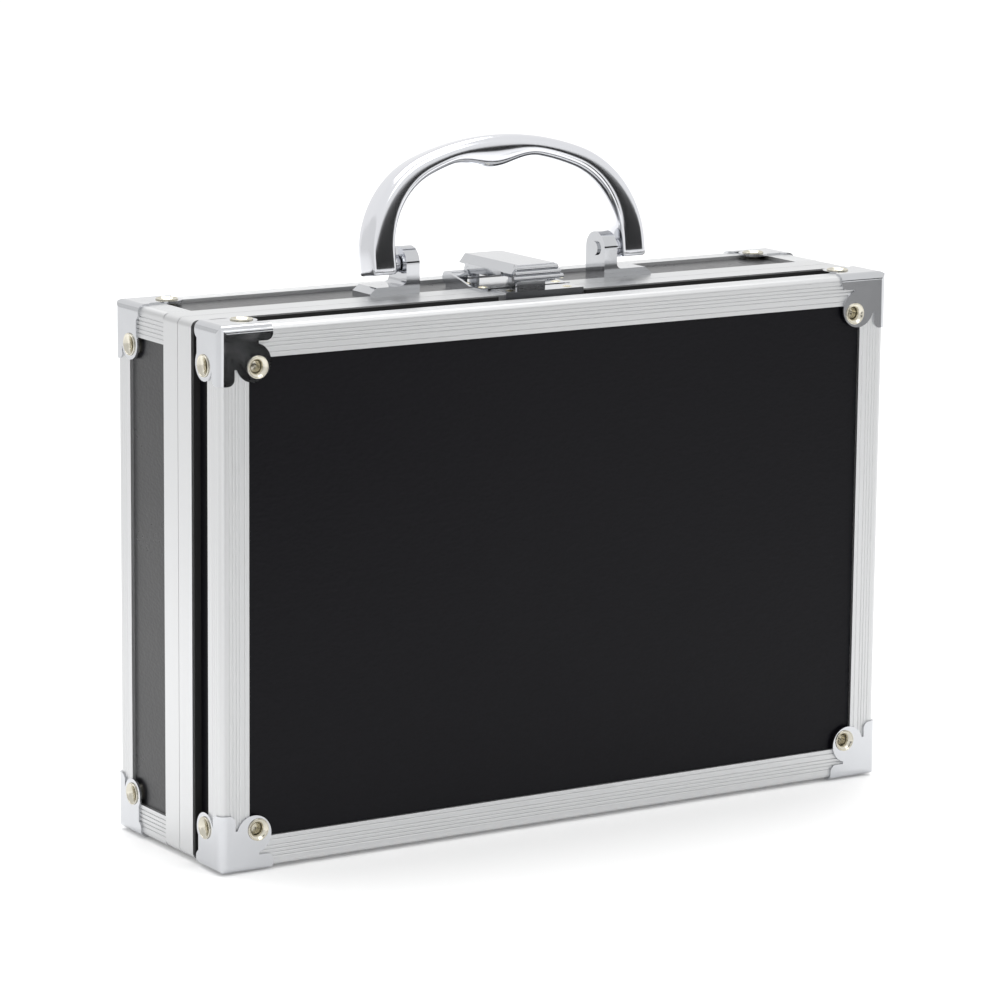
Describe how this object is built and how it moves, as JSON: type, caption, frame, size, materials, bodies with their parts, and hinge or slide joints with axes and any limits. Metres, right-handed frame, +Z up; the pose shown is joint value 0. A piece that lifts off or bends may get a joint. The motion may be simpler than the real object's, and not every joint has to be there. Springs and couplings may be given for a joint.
{
  "type": "art supply box",
  "caption": "Flat black carrying case with a ribbed aluminium edge frame, riveted chrome corner caps, a hinged lid, a folding handle and a draw latch.",
  "frame": {"origin": "under the middle of the case, on the plane that it stands on", "axes": "+X along the width, -Y towards the lid's face, +Z up through the handle"},
  "size_m": [0.2826, 0.0776, 0.245],
  "materials": {
    "face_panels": "fine grained near-black leatherette, semi-matt",
    "lid_boards": "black leatherette, semi-matt",
    "base_boards": "black leatherette, satin",
    "lining": "matt black flocked lining",
    "edge_trim": "matt black",
    "edge_angles": "satin extruded, finely ribbed",
    "mating_frames": "satin extruded",
    "eyelets": "pale brass, polished",
    "corner_caps": "polished chrome",
    "small_brass_rivets": "pale brass, satin",
    "hinges": "bright nickel",
    "handle_chrome": "polished chrome",
    "latch_chrome": "polished chrome"
  },
  "bodies": {
    "base": {"back_panel": "face_panels", "base_left_board": "base_boards", "base_right_board": "base_boards", "base_top_board": "base_boards", "base_bottom_board": "base_boards", "back_angle_left": "edge_angles", "back_angle_right": "edge_angles", "back_angle_top": "edge_angles", "back_angle_bottom": "edge_angles", "depth_angle_top_left": "edge_angles", "depth_angle_top_right": "edge_angles", "depth_angle_bottom_left": "edge_angles", "depth_angle_bottom_right": "edge_angles", "base_mating_frame": "mating_frames", "base_lining": "lining", "back_cap_top_left": "corner_caps", "back_cap_top_right": "corner_caps", "back_cap_bottom_left": "corner_caps", "back_cap_bottom_right": "corner_caps", "base_cap_eyelets": "eyelets", "base_hinge_leaves": "hinges", "base_hinge_rivets": "hinges", "hinge_pins": "hinges", "handle_bracket_left": "handle_chrome", "handle_bracket_right": "handle_chrome", "handle_bracket_rivets": "handle_chrome", "handle_pins": "handle_chrome", "latch_plate": "latch_chrome", "latch_rivets": "small_brass_rivets", "latch_pin": "latch_chrome"},
    "lid": {"front_panel": "face_panels", "lid_left_board": "lid_boards", "lid_right_board": "lid_boards", "lid_top_board": "lid_boards", "lid_bottom_board": "lid_boards", "front_angle_left": "edge_angles", "front_angle_right": "edge_angles", "front_angle_top": "edge_angles", "front_angle_bottom": "edge_angles", "lid_mating_frame": "mating_frames", "lid_edge_trim": "edge_trim", "lid_lining": "lining", "front_cap_top_left": "corner_caps", "front_cap_top_right": "corner_caps", "front_cap_bottom_left": "corner_caps", "front_cap_bottom_right": "corner_caps", "lid_cap_eyelets": "eyelets", "strike_plate": "latch_chrome", "strike_rivets": "small_brass_rivets", "lid_hinge_leaves": "hinges", "lid_hinge_rivets": "hinges"},
    "handle": {"handle": "handle_chrome"},
    "latch_lever": {"latch_lever": "latch_chrome", "hook_pin": "latch_chrome"},
    "latch_hook": {"latch_hook": "latch_chrome"}
  },
  "joints": [
    {"name": "lid_hinge", "type": "hinge", "parent": "base", "child": "lid", "pos_m": [0, -0.007, 0.0013], "axis": [1, 0, 0], "range_deg": [0, 105]},
    {"name": "handle_hinge", "type": "hinge", "parent": "base", "child": "handle", "pos_m": [0.002, 0.008, 0.2016], "axis": [1, 0, 0], "range_deg": [-75, 88]},
    {"name": "latch_lever_hinge", "type": "hinge", "parent": "base", "child": "latch_lever", "pos_m": [0.002, 0.0165, 0.1959], "axis": [-1, 0, 0], "range_deg": [0, 80]},
    {"name": "latch_hook_hinge", "type": "hinge", "parent": "latch_lever", "child": "latch_hook", "pos_m": [0.002, 0.0045, 0.1969], "axis": [-1, 0, 0], "range_deg": [0, 5]}
  ]
}
